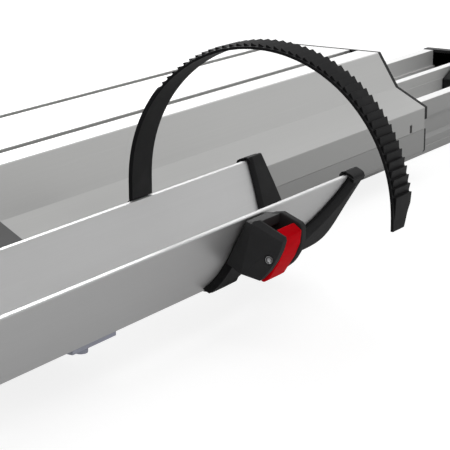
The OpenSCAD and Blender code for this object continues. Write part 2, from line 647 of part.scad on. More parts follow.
module lever_pins() color("silver") four_corners() translate([strap_x, 0, 0]) {
    bar_x(pin_y, pin_z, lever_pin_r, -cheek_out + 1.5, cheek_out);
    difference() {
        bar_x(pin_y, pin_z, lever_pin_r, -cheek_out + 0.3, -cheek_out + 1.5);
        translate([-cheek_out + 0.2, pin_y, pin_z]) rotate([0, 90, 0]) cylinder(r = 1.1, h = 0.9, $fn = 6);
    }
}
pawl_half = 7;
module pawl() translate([strap_x, 0, 0]) difference() {
    union() {
        bar_x(pawl_y, pawl_z, 3, -pawl_half, pawl_half);
        along_x(-pawl_half, pawl_half) polygon([[pawl_y - 2.8, pawl_z + 1], [pawl_y - 4.2, pawl_z - 3.5],
            [pawl_y - 3.2, pawl_z - 5.5], [pawl_y + 1.5, pawl_z - 2.6]]);
    }
    bar_x(pawl_y, pawl_z, 1.5 + pin_gap, -pawl_half - 1, pawl_half + 1);
}
module pawl_near_rear() color("gray") at_corner(0, 0) pawl();
module pawl_near_front() color("gray") at_corner(0, 1) pawl();
module pawl_far_rear() color("gray") at_corner(1, 0) pawl();
module pawl_far_front() color("gray") at_corner(1, 1) pawl();
module pawl_pins() color("silver") four_corners() translate([strap_x, 0, 0])
    bar_x(pawl_y, pawl_z, 1.5, -cheek_out + 2.5, cheek_out - 2.5);
// Leaf spring behind each pawl, bent from thin strip
module pawl_springs() color("silver") four_corners() translate([strap_x, 0, 0]) along_x(-4, 4)
    polygon([[web_y(rim_z - 20) - 0.05, rim_z - 20], [pawl_y + 2.7, pawl_z - 2], [pawl_y + 2.7, pawl_z - 2.6],
        [web_y(rim_z - 22) - 0.05, rim_z - 22]]);

// Strap: upright off the far rim, round over the wheel, then a flatter tail. strap_at gives a place on its
// inner face at a distance s along it, with the angle that it has turned there.
strap_y = far_rim_y - 1.8;
strap_z = rim_z + 0.5;
strap_rise = 12;
strap_turn = 172;
tail_r = 130;
tail_len = 18;
tail_cut = 7;
teeth_from = strap_rise + 58;
bend_len = strap_r * strap_turn * PI / 180;
strap_len = strap_rise + bend_len + tail_len;
teeth_n = floor((strap_rise + bend_len - 3 - teeth_from) / tooth_pitch);
function bent(p, a, r, turn) = [p.x - r * (cos(a) - cos(a + turn)),
    p.y + r * (sin(a + turn) - sin(a)), a + turn];
bend_start = [strap_y, strap_z + strap_rise, 0];
bend_end = bent(bend_start, 0, strap_r, strap_turn);
function strap_at(s) = s <= strap_rise ? [strap_y, strap_z + s, 0]
    : s <= strap_rise + bend_len ? bent(bend_start, 0, strap_r, (s - strap_rise) / strap_r * 180 / PI)
    : bent(bend_end, strap_turn, tail_r, (s - strap_rise - bend_len) / tail_r * 180 / PI);
function raised(s, t) = let (q = strap_at(s)) [q.x + t * cos(q.z), q.y + t * sin(q.z)];
function smooth_run(s0, s1, t) = [for (k = [0 : ceil((s1 - s0) / 4)])
    raised(s0 + (s1 - s0) * k / ceil((s1 - s0) / 4), t)];
teeth_end = teeth_from + teeth_n * tooth_pitch;
web_t = strap_t - tooth_h + 0.4;
strap_back_face = concat(smooth_run(0, teeth_from, strap_t),
    [for (k = [0 : teeth_n - 1]) each [raised(teeth_from + k * tooth_pitch + 0.3, web_t + tooth_h),
        raised(teeth_from + (k + 1) * tooth_pitch, web_t)]],
    smooth_run(teeth_end + 0.5, strap_len, web_t));
eye_y = far_rim_y + 2.2;
eye_z = rim_z - 7.5;
eye_r = 3.6;
eye_pin_r = 1.8;
module strap() translate([strap_x, 0, 0]) difference() {
    union() {
        along_x(-strap_w / 2, strap_w / 2)
            polygon(concat(strap_back_face, reversed(smooth_run(0, strap_len, 0))));
        along_x(-strap_w / 2, strap_w / 2) polygon([[strap_y, strap_z], [strap_y, strap_z + 4],
            [strap_y + strap_t, strap_z + 4], [strap_y + strap_t, strap_z], [eye_y + eye_r, eye_z + 1],
            [eye_y + eye_r, eye_z], [eye_y - eye_r, eye_z], [eye_y - eye_r, eye_z + 3],
            [far_rim_y + 0.6, strap_z]]);
        bar_x(eye_y, eye_z, eye_r, -strap_w / 2, strap_w / 2);
    }
    bar_x(eye_y, eye_z, eye_pin_r + pin_gap, -strap_w, strap_w);
    // The tail narrows on the side toward the gutter's end
    translate([0, bend_end.x - tail_len, bend_end.y]) rotate([90, 0, 0])
        linear_extrude(3 * tail_len, center = true)
        polygon([[strap_w / 2, 0], [strap_w / 2 - tail_cut, -tail_len - 1], [strap_w, -tail_len - 1],
            [strap_w, 0]]);
}
module strap_near_rear() color("black") at_corner(0, 0) strap();
module strap_near_front() color("black") at_corner(0, 1) strap();
module strap_far_rear() color("black") at_corner(1, 0) strap();
module strap_far_front() color("black") at_corner(1, 1) strap();

// Anchors on the outer side of the far walls: a foot, and two ears round the strap's eye
ear_t = 2.5;
ear_in = strap_w / 2 + 0.4;
function far_wall_y(z) = far_rim_y - (rim_z - z) * tan(gutter_lean) + fit / cos(gutter_lean);
module strap_anchors() color("black") four_corners() {
    translate([strap_x, 0, 0]) difference() {
        for (s = [-1, 1]) translate([s * (ear_in + ear_t / 2), 0, 0]) {
            along_x(-ear_t / 2, ear_t / 2) polygon([[far_wall_y(eye_z + 3), eye_z + 3],
                [eye_y, eye_z + eye_r], [eye_y + eye_r, eye_z], [eye_y, eye_z - eye_r],
                [far_wall_y(eye_z - 16), eye_z - 16]]);
            bar_x(eye_y, eye_z, eye_r, -ear_t / 2, ear_t / 2);
        }
        bar_x(eye_y, eye_z, eye_pin_r + 0.05, -strap_w, strap_w);
    }
    on_far_wall(fit, 2.4) translate([strap_x - hook_x, 0])
        polygon([[-ear_in - ear_t, -12], [ear_in + ear_t, -12], [ear_in + ear_t, -26],
        [-ear_in - ear_t, -26]]);
}
module strap_pins() color("silver") four_corners() translate([strap_x, 0, 0]) {
    bar_x(eye_y, eye_z, eye_pin_r, -ear_in - ear_t - 1, ear_in + ear_t + 0.1);
    bar_x(eye_y, eye_z, eye_pin_r + 0.8, ear_in + ear_t + 0.1, ear_in + ear_t + 1.1);
}

// Release: a rod from the grip at the front end to the latch that drops behind the catch blocks
module at_latch() translate([0, latch_y, 0]) rotate([90, 0, 0]) children();
module latch_pawl() color("lightgray") at_latch() difference() {
    union() {
        translate([latch_x, latch_z, 0]) cylinder(r = latch_pin_r + 4, h = latch_t, center = true);
        linear_extrude(latch_t, center = true) polygon([[latch_x - 4.5, latch_z], [latch_x - 4.5, rod_z + 6],
            [latch_x + 4.5, rod_z + 6], [latch_x + 5, latch_z + 6],
            [latch_nose_x + latch_nose_len, latch_z + 2], [latch_nose_x + latch_nose_len, latch_nose_z + 3],
            [latch_nose_x + latch_nose_len - 3, latch_nose_z],
            [latch_nose_x, latch_nose_z], [latch_nose_x, latch_z - 5], [latch_x, latch_z - 6]]);
    }
    translate([latch_x, latch_z, 0]) cylinder(r = latch_pin_r + pin_gap, h = 2 * latch_t, center = true);
    translate([latch_x, rod_z, 0]) cube([2 * link_r + 0.5, 2 * link_r + 2, 2 * latch_t], center = true);
}
module latch_bracket() color("gray") difference() {
    union() {
        for (s = [-1, 1]) translate([0, s * (latch_t / 2 + 1.6), 0]) at_latch()
            linear_extrude(2.4, center = true) union() {
            translate([latch_x, latch_z]) circle(r = latch_pin_r + 3);
            translate([latch_x - 10, cross_z + cross_t]) square([16.5, latch_z - cross_z - cross_t]);
        }
        block([latch_x - 10, latch_y - latch_t / 2 - 2.8, cross_z + cross_t],
            [latch_x + 6.5, latch_y + latch_t / 2 + 2.8, cross_z + cross_t + 1.2]);
    }
    translate([0, latch_y, 0]) bar_y(latch_x, latch_z, latch_pin_r + 0.05, -12, 12);
    block([latch_x - 11, latch_y - latch_t / 2 - 0.4, cross_z + cross_t + 1.2],
        [latch_x + 11, latch_y + latch_t / 2 + 0.4, latch_z + 12]);
}
module latch_pin() color("silver")
    bar_y(latch_x, latch_z, latch_pin_r, latch_y - latch_t / 2 - 3.4, latch_y + latch_t / 2 + 3.4);

rod_end_x = latch_x - 16;
grip_x = deck_x0 - trim_t - 34;
module release_rod() color("silver") {
    bar_x(rod_y, rod_z, rod_r, grip_x, rod_end_x);
    block([rod_end_x - 10, rod_y + latch_t / 2 + 0.5, rod_z - 3],
        [latch_x + 4, rod_y + latch_t / 2 + 3, rod_z + 3]);
    bar_y(latch_x, rod_z, link_r, rod_y - latch_t / 2, rod_y + latch_t / 2 + 1);
}
module release_grip() color("black") difference() {
    union() {
        bar_y(grip_x - 6, rod_z, 9, -grip_w / 2, grip_w / 2);
        for (s = [-1, 1]) translate([grip_x - 6, s * grip_w / 2, rod_z]) sphere(r = 9);
        bar_x(rod_y, rod_z, 10, grip_x - 6, grip_x + 14);
    }
    bar_x(rod_y, rod_z, rod_r + 0.05, grip_x, grip_x + 20);
}
module rod_guides() color("black") for (i = [1 : 3]) let (x = cross_places()[i]) difference() {
    block([x - 9, rod_y - 9, cross_z + cross_t], [x + 9, rod_y + 9, rod_z + 8]);
    bar_x(rod_y, rod_z, rod_r + 0.3, x - 10, x + 10);
}

base_rail();
base_cap_rear();
base_cap_front();
catch_rear();
catch_front();
front_glides();
side_rails();
side_rail_caps();
deck_cover();
deck_cap_rear();
deck_cap_front();
cross_members();
cross_screws();
roller_brackets();
roller_axles();
roller_near_inner();
roller_near_outer();
roller_far_inner();
roller_far_outer();
groove_pads();
arm_plates();
arm_screws();
gutter_bars();
bar_screws();
gutter_bolts();
gutter_near();
gutter_far();
holder_near_rear();
holder_near_front();
holder_far_rear();
holder_far_front();
buckle_near_rear();
buckle_near_front();
buckle_far_rear();
buckle_far_front();
lever_near_rear();
lever_near_front();
lever_far_rear();
lever_far_front();
pawl_near_rear();
pawl_near_front();
pawl_far_rear();
pawl_far_front();
lever_pins();
pawl_pins();
pawl_springs();
strap_near_rear();
strap_near_front();
strap_far_rear();
strap_far_front();
strap_anchors();
strap_pins();
release_rod();
release_grip();
rod_guides();
latch_pawl();
latch_bracket();
latch_pin();
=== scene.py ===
import bpy
import bmesh
import json
import math
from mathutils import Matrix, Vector


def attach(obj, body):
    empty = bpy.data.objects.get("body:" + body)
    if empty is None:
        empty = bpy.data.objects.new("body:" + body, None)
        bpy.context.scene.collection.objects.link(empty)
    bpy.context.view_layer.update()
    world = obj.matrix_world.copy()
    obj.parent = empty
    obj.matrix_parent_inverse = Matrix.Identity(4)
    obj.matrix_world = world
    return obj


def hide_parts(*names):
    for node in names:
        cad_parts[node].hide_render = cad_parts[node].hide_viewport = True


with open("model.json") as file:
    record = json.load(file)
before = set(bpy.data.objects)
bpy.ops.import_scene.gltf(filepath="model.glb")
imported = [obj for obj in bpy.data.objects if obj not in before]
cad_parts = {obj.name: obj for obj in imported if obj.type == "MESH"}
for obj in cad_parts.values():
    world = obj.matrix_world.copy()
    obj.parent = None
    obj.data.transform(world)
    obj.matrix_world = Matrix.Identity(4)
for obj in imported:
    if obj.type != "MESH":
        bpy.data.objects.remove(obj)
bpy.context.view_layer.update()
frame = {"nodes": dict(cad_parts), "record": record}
print("frame loaded")

# Places on the carrier, in millimetres. X runs along the rails and the near side is -Y.
mm = 0.001
hookX, gutterMidX = 269.0, -381.0          # the gutters' rear ends and their middle
nearRimY, farRimY, rimZ = -192.8, -115.0, 74.6
strapX = hookX - 120.5
lean = math.radians(26)                    # the gutter's walls lean out by this much
corners = {"near_rear": (False, False), "near_front": (False, True),
           "far_rear": (True, False), "far_front": (True, True)}


# Shader maths: a wire is one output, and sums on it add Math nodes
class Wire:
    def __init__(self, tree, out):
        self.tree, self.out = tree, out

    def maths(self, how, other, turned=False):
        first, second = (other, self) if turned else (self, other)
        return addNode(self.tree, "ShaderNodeMath", {"operation": how}, {0: first, 1: second})

    def __add__(self, other): return self.maths("ADD", other)
    def __radd__(self, other): return self.maths("ADD", other)
    def __sub__(self, other): return self.maths("SUBTRACT", other)
    def __rsub__(self, other): return self.maths("SUBTRACT", other, True)
    def __mul__(self, other): return self.maths("MULTIPLY", other)
    def __rmul__(self, other): return self.maths("MULTIPLY", other)


def plug(tree, slot, value):
    if isinstance(value, Wire):
        tree.links.new(value.out, slot)
    elif isinstance(value, (tuple, list)) and len(value) == 3 and len(slot.default_value) == 4:
        slot.default_value = (*value, 1)
    else:
        slot.default_value = value


def addNode(tree, kind, settings=None, values=None, out=0):
    # any node: its settings first, then the values or links of its sockets
    node = tree.nodes.new(kind)
    for key, value in (settings or {}).items():
        setattr(node, key, value)
    for key, value in (values or {}).items():
        plug(tree, node.inputs[key], value)
    return Wire(tree, node.outputs[out])


class Finish:
    # One material: add() makes a node in it, look() fills the shader's sockets
    def __init__(self, name, **fixed):
        self.material = bpy.data.materials.new(name)
        self.material.use_nodes = True
        self.tree = self.material.node_tree
        self.look(**fixed)
        self.place = self.add("ShaderNodeTexCoord", out="Object")

    def add(self, kind, settings=None, values=None, out=0):
        return addNode(self.tree, kind, settings, values, out)

    def noise(self, size, detail=3.0, rough=0.55, stretch=(1, 1, 1)):
        spot = self.add("ShaderNodeMapping", {"vector_type": "POINT"}, {"Vector": self.place, "Scale": stretch})
        return self.add("ShaderNodeTexNoise", {},
                        {"Vector": spot, "Scale": size, "Detail": detail, "Roughness": rough})

    def band(self, wire, low, high, start=0.0, end=1.0):
        return self.add("ShaderNodeMapRange", {"clamp": True},
                        {"Value": wire, "From Min": low, "From Max": high, "To Min": start, "To Max": end})

    def blend(self, share, one, other):
        return self.add("ShaderNodeMix", {"data_type": "RGBA"}, {0: share, 6: one, 7: other}, 2)

    def bump(self, height, strength, depth):
        return self.add("ShaderNodeBump", {}, {"Height": height, "Strength": strength, "Distance": depth})

    def look(self, **sockets):
        for key, value in sockets.items():
            plug(self.tree, self.tree.nodes["Principled BSDF"].inputs[key.replace("_", " ")], value)
        return self.material


# Anodised extrusion: die lines along X, a cloudy tone, a fine satin grain, and painted light and shade by zones
def drawnAluminium(name, pale, dark, gloss=0.42, metal=0.55, zones=()):
    finish = Finish(name)
    lines = finish.noise(1.0, 4, 0.6, (2.2, 900, 900))
    broad = finish.noise(1.0, 2, 0.5, (1.1, 120, 120))
    cloud = finish.noise(7.0, 3)
    grain = finish.noise(2600, 2)
    scratch = finish.noise(1.0, 2, 0.5, (9, 2600, 2600))
    rare = finish.band(scratch, 0.70, 0.76)
    tone = finish.band(lines * 0.45 + broad * 0.25 + cloud * 0.3, 0.36, 0.64)
    colour = finish.blend(tone, dark, pale)
    colour = finish.blend(rare * 0.25, colour, tuple(min(1, c * 1.25) for c in pale))
    for axis, start, end, share, paintedTone in zones:
        # painted light and shade: tops are painted paler as if lit, and side faces darker as if shaded
        place = finish.add("ShaderNodeSeparateXYZ", {}, {"Vector": finish.place}, axis)
        if start < end:
            mask = finish.band(place, start, end, 0.0, share)
        else:
            mask = finish.band(place, end, start, share, 0.0)
        colour = finish.blend(mask, colour, paintedTone)
    rough = gloss - 0.05 + lines * 0.08 + grain * 0.06 - rare * 0.08
    normal = finish.bump(lines * 0.7 + grain * 0.3, 0.06, 0.0002)
    return finish.look(Base_Color=colour, Roughness=rough, Metallic=metal, Normal=normal)


# Moulded black plastic: spark-eroded grain, a few rubbed patches and dust in them
def mouldedPlastic(name, deep, worn, gloss=0.5, grainSize=1500, grainDepth=0.25, shine=0.15):
    finish = Finish(name, Specular_IOR_Level=shine)
    grain = finish.noise(grainSize, 3, 0.6)
    pits = finish.add("ShaderNodeTexVoronoi", {"feature": "SMOOTH_F1"},
                      {"Vector": finish.place, "Scale": grainSize * 0.6}, "Distance")
    cloud = finish.noise(38, 4)
    rub = finish.band(cloud, 0.52, 0.72)
    colour = finish.blend(finish.band(grain, 0.3, 0.75) * 0.35 + rub * 0.3, deep, worn)
    rough = gloss + grain * 0.12 - rub * 0.1
    normal = finish.bump(grain * 0.6 + pits * 0.4, grainDepth, 0.00015)
    return finish.look(Base_Color=colour, Roughness=rough, Normal=normal)


# Plated or ground steel: brushed across, with small dull spots
def platedSteel(name, pale, dark, gloss=0.35, metal=0.9, blue=None):
    finish = Finish(name)
    brushed = finish.noise(1.0, 3, 0.6, (60, 60, 2400))
    cloud = finish.noise(60, 4)
    spots = finish.band(finish.noise(420, 2), 0.66, 0.74)
    colour = finish.blend(finish.band(brushed * 0.5 + cloud * 0.5, 0.35, 0.65), dark, pale)
    if blue:
        colour = finish.blend(finish.band(cloud, 0.45, 0.7) * 0.6, colour, blue)
    colour = finish.blend(spots * 0.3, colour, tuple(c * 0.6 for c in dark))
    rough = gloss + brushed * 0.12 + spots * 0.15
    normal = finish.bump(brushed, 0.08, 0.0001)
    return finish.look(Base_Color=colour, Roughness=rough, Metallic=metal, Normal=normal)


# Powder coat: orange peel and fine speckle
def powderCoat(name, pale, dark, gloss=0.5):
    finish = Finish(name)
    peel = finish.noise(900, 2, 0.4)
    speck = finish.noise(3400, 2)
    cloud = finish.noise(24, 3)
    colour = finish.blend(finish.band(speck * 0.5 + cloud * 0.5, 0.38, 0.62), dark, pale)
    rough = gloss + speck * 0.1
    return finish.look(Base_Color=colour, Roughness=rough, Normal=finish.bump(peel, 0.22, 0.0002))


# Polished coloured plastic with faint flow marks and hair scratches
def glossyPlastic(name, pale, deep, gloss=0.28):
    finish = Finish(name, Specular_IOR_Level=0.006)
    flow = finish.noise(60, 3, 0.5, (1, 1, 3))
    hair = finish.band(finish.noise(1.0, 2, 0.5, (1800, 260, 260)), 0.68, 0.75)
    colour = finish.blend(finish.band(flow, 0.35, 0.65), deep, pale)
    rough = gloss + flow * 0.08 + hair * 0.15
    return finish.look(Base_Color=colour, Roughness=rough, Normal=finish.bump(flow + hair * 0.2, 0.06, 0.0002))


# Zones of painted light and shade on the extrusions: axis, where each starts and is full in metres, its share and
# its painted tone
litTop, shadedSide, shadedFlange = (0.78, 0.78, 0.775), (0.30, 0.30, 0.296), (0.22, 0.22, 0.216)
# the rail: painted shade on both outer side faces, painted light on its top
railPaintedLight = [("Y", -0.0545, -0.0552, 0.9, shadedSide), ("Y", 0.0545, 0.0552, 0.9, shadedSide),
             ("Z", 0.0456, 0.0460, 1.0, litTop)]
# the cover: painted shade on the upright band below 57.5 mm, painted light on its top
coverPaintedLight = [("Z", 0.0575, 0.0567, 0.5, shadedFlange), ("Z", 0.0970, 0.0977, 1.0, litTop)]

# Each finish: its kind, its two tones, and what differs from that kind's usual values
finishTable = {
    "fixed_rail_metal": (drawnAluminium, (0.63, 0.63, 0.625), (0.60, 0.60, 0.595),
                         {"metal": 0.2, "zones": railPaintedLight}),
    "cover_metal": (drawnAluminium, (0.50, 0.50, 0.493), (0.475, 0.475, 0.468), {"zones": coverPaintedLight}),
    # painted shade: the side rails get a darker tone than the cover so their upright faces read as shaded
    "side_rail_metal": (drawnAluminium, (0.285, 0.285, 0.281), (0.268, 0.268, 0.264), {}),
    "gutter_metal": (drawnAluminium, (0.555, 0.555, 0.555), (0.53, 0.53, 0.53), {}),
    "cap_plastic": (mouldedPlastic, (0.016, 0.016, 0.017), (0.032, 0.032, 0.033), {}),
    "catch_plastic": (mouldedPlastic, (0.009, 0.009, 0.010), (0.024, 0.024, 0.025),
                      {"gloss": 0.42, "grainSize": 1100, "grainDepth": 0.15}),
    "holder_plastic": (mouldedPlastic, (0.007, 0.007, 0.0075), (0.016, 0.016, 0.0165), {"shine": 0.1}),
    "buckle_plastic": (mouldedPlastic, (0.034, 0.034, 0.035), (0.050, 0.050, 0.051),
                       {"gloss": 0.65, "grainSize": 1900, "grainDepth": 0.3, "shine": 0.06}),
    "anchor_plastic": (mouldedPlastic, (0.010, 0.010, 0.011), (0.024, 0.024, 0.025), {}),
    "strap_plastic": (mouldedPlastic, (0.006, 0.006, 0.0065), (0.014, 0.014, 0.0145),
                      {"gloss": 0.45, "grainSize": 2600, "grainDepth": 0.15, "shine": 0.08}),
    "roller_nylon": (mouldedPlastic, (0.03, 0.03, 0.033), (0.07, 0.07, 0.072),
                     {"gloss": 0.4, "grainSize": 900, "grainDepth": 0.12}),
    "grip_rubber": (mouldedPlastic, (0.008, 0.008, 0.008), (0.02, 0.02, 0.02),
                    {"gloss": 0.62, "grainSize": 700, "grainDepth": 0.4}),
    "lever_red": (glossyPlastic, (0.68, 0.001, 0.008), (0.58, 0.001, 0.006), {}),
    "pawl_metal": (platedSteel, (0.50, 0.50, 0.51), (0.38, 0.38, 0.39), {"gloss": 0.45}),
    "frame_steel": (platedSteel, (0.46, 0.47, 0.49), (0.34, 0.35, 0.37), {"gloss": 0.45, "metal": 0.8}),
    "arm_paint": (powderCoat, (0.105, 0.105, 0.105), (0.085, 0.085, 0.086), {}),
    "bar_zinc": (platedSteel, (0.40, 0.41, 0.47), (0.32, 0.33, 0.39),
                 {"gloss": 0.45, "metal": 0.5, "blue": (0.36, 0.38, 0.50)}),
    "screw_steel": (platedSteel, (0.50, 0.50, 0.51), (0.36, 0.36, 0.37), {"gloss": 0.32}),
    "pin_steel": (platedSteel, (0.66, 0.66, 0.67), (0.54, 0.54, 0.55), {"gloss": 0.25, "metal": 0.85}),
    "latch_steel": (platedSteel, (0.44, 0.44, 0.46), (0.32, 0.32, 0.34), {"gloss": 0.4}),
    "spring_steel": (platedSteel, (0.30, 0.31, 0.36), (0.20, 0.21, 0.26), {"gloss": 0.3}),
}
finishes = {name: kind(name, *tones, **values) for name, (kind, *tones, values) in finishTable.items()}
slotOf = {part["node"]: part["material_slot"] for part in frame["record"]["subparts"]}
bodyOf = {node: body for body, nodes in frame["record"]["behaviour"]["bodies"].items() for node in nodes}
print("materials made:", len(finishes))


# Tools of the bench
def putDown():
    if bpy.context.object and bpy.context.object.mode != "OBJECT":
        bpy.ops.object.mode_set(mode="OBJECT")
    bpy.ops.object.select_all(action="DESELECT")


def pickUp(*pieces):
    putDown()
    for piece in pieces:
        piece.select_set(True)
    bpy.context.view_layer.objects.active = pieces[0]


def editMesh(piece):
    pickUp(piece)
    bpy.ops.object.mode_set(mode="EDIT")
    bpy.ops.mesh.select_all(action="SELECT")


def pickVertices(piece, wanted):
    # in edit mode, selects the vertices whose place in millimetres is wanted
    mesh = bmesh.from_edit_mesh(piece.data)
    for vertex in mesh.verts:
        vertex.select = wanted(vertex.co * 1000)
    mesh.select_flush_mode()


def pickEdges(piece, wanted):
    # in edit mode, selects the edges whose middle and direction are wanted
    mesh = bmesh.from_edit_mesh(piece.data)
    bpy.ops.mesh.select_all(action="DESELECT")
    for edge in mesh.edges:
        a, b = (v.co * 1000 for v in edge.verts)
        if wanted((a + b) / 2, (b - a)):
            edge.select = True
    mesh.select_flush_mode()
    bmesh.update_edit_mesh(piece.data)


def turnOut():
    # turns all faces of the mesh in edit mode outward
    bpy.ops.mesh.select_all(action="SELECT")
    bpy.ops.mesh.normals_make_consistent(inside=False)


def shifted(piece, wanted, reach):
    # moves the vertices that are wanted, in millimetres
    editMesh(piece)
    pickVertices(piece, wanted)
    bpy.ops.transform.translate(value=Vector(reach) * mm)
    putDown()


def settled(piece):
    # puts the piece's place into its mesh
    pickUp(piece)
    bpy.ops.object.transform_apply(location=True, rotation=True, scale=True)


def dress(piece, node):
    piece.data.materials.clear()
    piece.data.materials.append(finishes[slotOf[node]])
    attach(piece, bodyOf[node])
    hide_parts(node)


def useModifier(piece, kind, **settings):
    pickUp(piece)
    modifier = piece.modifiers.new(kind.lower(), kind)
    for key, value in settings.items():
        setattr(modifier, key, value)
    bpy.ops.object.modifier_apply(modifier=modifier.name)


def soften(piece, width, steps=2, angle=32, smooth=40):
    # rounds every edge sharper than the angle, in millimetres and degrees
    useModifier(piece, "BEVEL", width=width * mm, segments=steps, limit_method="ANGLE",
                angle_limit=math.radians(angle), use_clamp_overlap=True, miter_outer="MITER_ARC")
    pickUp(piece)
    bpy.ops.object.shade_smooth_by_angle(angle=math.radians(smooth))
    useModifier(piece, "WEIGHTED_NORMAL", mode="FACE_AREA_WITH_ANGLE", weight=50, keep_sharp=True)


def walked(name, points):
    # one vertex, pulled along the points into an open line that stays in edit mode
    putDown()
    bpy.ops.mesh.primitive_plane_add(size=mm, location=points[0] * mm)
    piece = bpy.context.object
    piece.name = name
    piece.data.name = name
    editMesh(piece)
    bpy.ops.mesh.merge(type="CENTER")
    for before, after in zip(points, points[1:]):
        bpy.ops.mesh.extrude_region_move(TRANSFORM_OT_translate={"value": (after - before) * mm})
    return piece


def drawnSolid(name, outline, thickness):
    # walks round the outline, fills it and pulls it out by its thickness
    piece = walked(name, [Vector(p) for p in outline])
    mesh = bmesh.from_edit_mesh(piece.data)
    bpy.ops.mesh.select_all(action="DESELECT")
    for vertex in mesh.verts:
        vertex.select = len(vertex.link_edges) == 1
    mesh.select_flush_mode()
    bpy.ops.mesh.edge_face_add()
    bpy.ops.mesh.select_all(action="SELECT")
    bpy.ops.mesh.edge_face_add()
    bpy.ops.mesh.extrude_region_move(TRANSFORM_OT_translate={"value": Vector(thickness) * mm})
    turnOut()
    settled(piece)
    return piece


def joined(name, *pieces):
    pickUp(*pieces)
    bpy.ops.object.join()
    pieces[0].name = name
    return pieces[0]


def copied(piece, name):
    pickUp(piece)
    bpy.ops.object.duplicate(linked=False)
    copy = bpy.context.object
    copy.name = name
    return copy


def atCorners(piece, stem):
    # the four corners are one shape, turned over across the gutters' middle or the carrier's
    for corner, (far, front) in corners.items():
        if far or front:
            copy = copied(piece, "%s_%s_piece" % (stem, corner))
            copy.data.name = copy.name
            editMesh(copy)
            if front:
                bpy.ops.transform.resize(value=(-1, 1, 1), center_override=(gutterMidX * mm, 0, 0))
            if far:
                bpy.ops.transform.resize(value=(1, -1, 1), center_override=(0, 0, 0))
            turnOut()
            putDown()
            dress(copy, "%s_%s" % (stem, corner))
    piece.name = "%s_near_rear_piece" % stem
    dress(piece, "%s_near_rear" % stem)


def roundedNode(node, width):
    # a copy of a CAD node with its edges broken as a mould or a file leaves them
    piece = copied(frame["nodes"][node], node + "_piece")
    world = piece.matrix_world.copy()
    piece.parent = None
    piece.matrix_world = world
    editMesh(piece)
    bpy.ops.mesh.remove_doubles(threshold=0.004 * mm)
    bpy.ops.mesh.dissolve_limited(angle_limit=math.radians(0.6))
    bpy.ops.mesh.normals_make_consistent(inside=False)
    settled(piece)
    soften(piece, width, angle=30)
    dress(piece, node)


def smoothed(points, steps=5):
    # a soft curve through the points
    line = []
    for i in range(len(points) - 1):
        before, a, b, after = (Vector(points[max(0, min(len(points) - 1, k))]) for k in (i - 1, i, i + 1, i + 2))
        for k in range(steps):
            t = k / steps
            line.append(0.5 * (2 * a + (b - before) * t + (2 * before - 5 * a + 4 * b - after) * t * t
                               + (3 * a - before - 3 * b + after) * t ** 3))
    return line + [Vector(points[-1])]


def onNearWall(x, down, out):
    # a place by the near wall: along it, down from its rim and out from its outer face
    return (hookX + x, nearRimY + down * math.sin(lean) - out * math.cos(lean),
            rimZ - down * math.cos(lean) - out * math.sin(lean))


def onFarWall(x, down, out):
    # the same for the far wall
    return (hookX + x, farRimY - down * math.sin(lean) + out * math.cos(lean),
            rimZ - down * math.cos(lean) - out * math.sin(lean))


# Wheel holder: a curved arm and plate on the near wall, arms on both faces of the far wall, hooks over both rims
holder = {
    "skin": 5.0, "gap": 0.2,                       # thickness of the plate, and its play on the wall
    "plate": 2.0, "slant": 6.0,                    # its square part, and how far the rest slants in
    "round": 1.3, "thinRound": 0.5, "hookRound": 1.2,
    "wall": 3.2, "lip": 2.3, "lipDown": 4.0,       # the gutter's wall, and the hook's lip inside it
    "hookFrom": -6.8, "hookTo": 10.0, "farHookFrom": -6.0, "farHookTo": 10.5,
    "hookEnd": 3.4, "endSteps": ((1.6, 0.93), (1.1, 0.83), (0.7, 0.68)), "wheelSide": 1.5,
    "armTo": 13.0, "band": 3.2, "bandSlant": 2.4, "bandDown": 40.0,
    "foot": 45.46, "floorZ": 26.2, "saddle": 5.0, "tab": 14.0,
}
innerFace = -holder["wall"] - holder["gap"]


def wrapOverRim(wall, name, x0, x1):
    # the hook's section: out over the rim, down inside and back under
    out0, out1 = holder["gap"], holder["gap"] + holder["skin"]
    in0, in1 = innerFace, innerFace - holder["lip"]
    low = holder["lipDown"]
    section = [(2.4, out1), (0.2, out1 - 0.3), (-1.4, out1 - 1.9), (-1.7, out1 - 4.0), (-1.3, in1 + 2.2),
               (0.3, in1 + 0.5), (2.4, in1), (low - 0.8, in1 + 0.2), (low, in1 + 1.0), (low - 0.3, in0),
               (-0.2, in0), (-0.2, out0), (2.4, out0)]
    hook = drawnSolid(name, [wall(x0, down, out) for down, out in section], (x1 - x0 - holder["hookEnd"], 0, 0))
    # the end closes in like a bead's
    middle = Vector(wall(x1, 1.4, (out1 + in1) / 2)) * mm
    endFrom = hookX + x1 - holder["hookEnd"] - 0.1
    editMesh(hook)
    pickVertices(hook, lambda place: place.x > endFrom)
    for reach, size in holder["endSteps"]:
        bpy.ops.mesh.extrude_region_move(TRANSFORM_OT_translate={"value": (reach * mm, 0, 0)})
        bpy.ops.transform.resize(value=(1, size, size), center_override=middle)
    putDown()
    if wall is onNearWall:
        # it reaches further on the wheel's side
        for vertex in hook.data.vertices:
            place = vertex.co * 1000
            out = -(place.y - nearRimY) * math.cos(lean) - (place.z - rimZ) * math.sin(lean)
            if place.x > endFrom:
                vertex.co.x += holder["wheelSide"] * mm * (out1 - out) / (out1 - in1)
    return hook


def plateOn(wall, name, outline, out, thick):
    # a flat piece on a leaning wall, from its outline of places along and down the wall
    return drawnSolid(name, [wall(x, down, out) for x, down in outline],
                      Vector(wall(0, 0, thick)) - Vector(wall(0, 0, 0)))


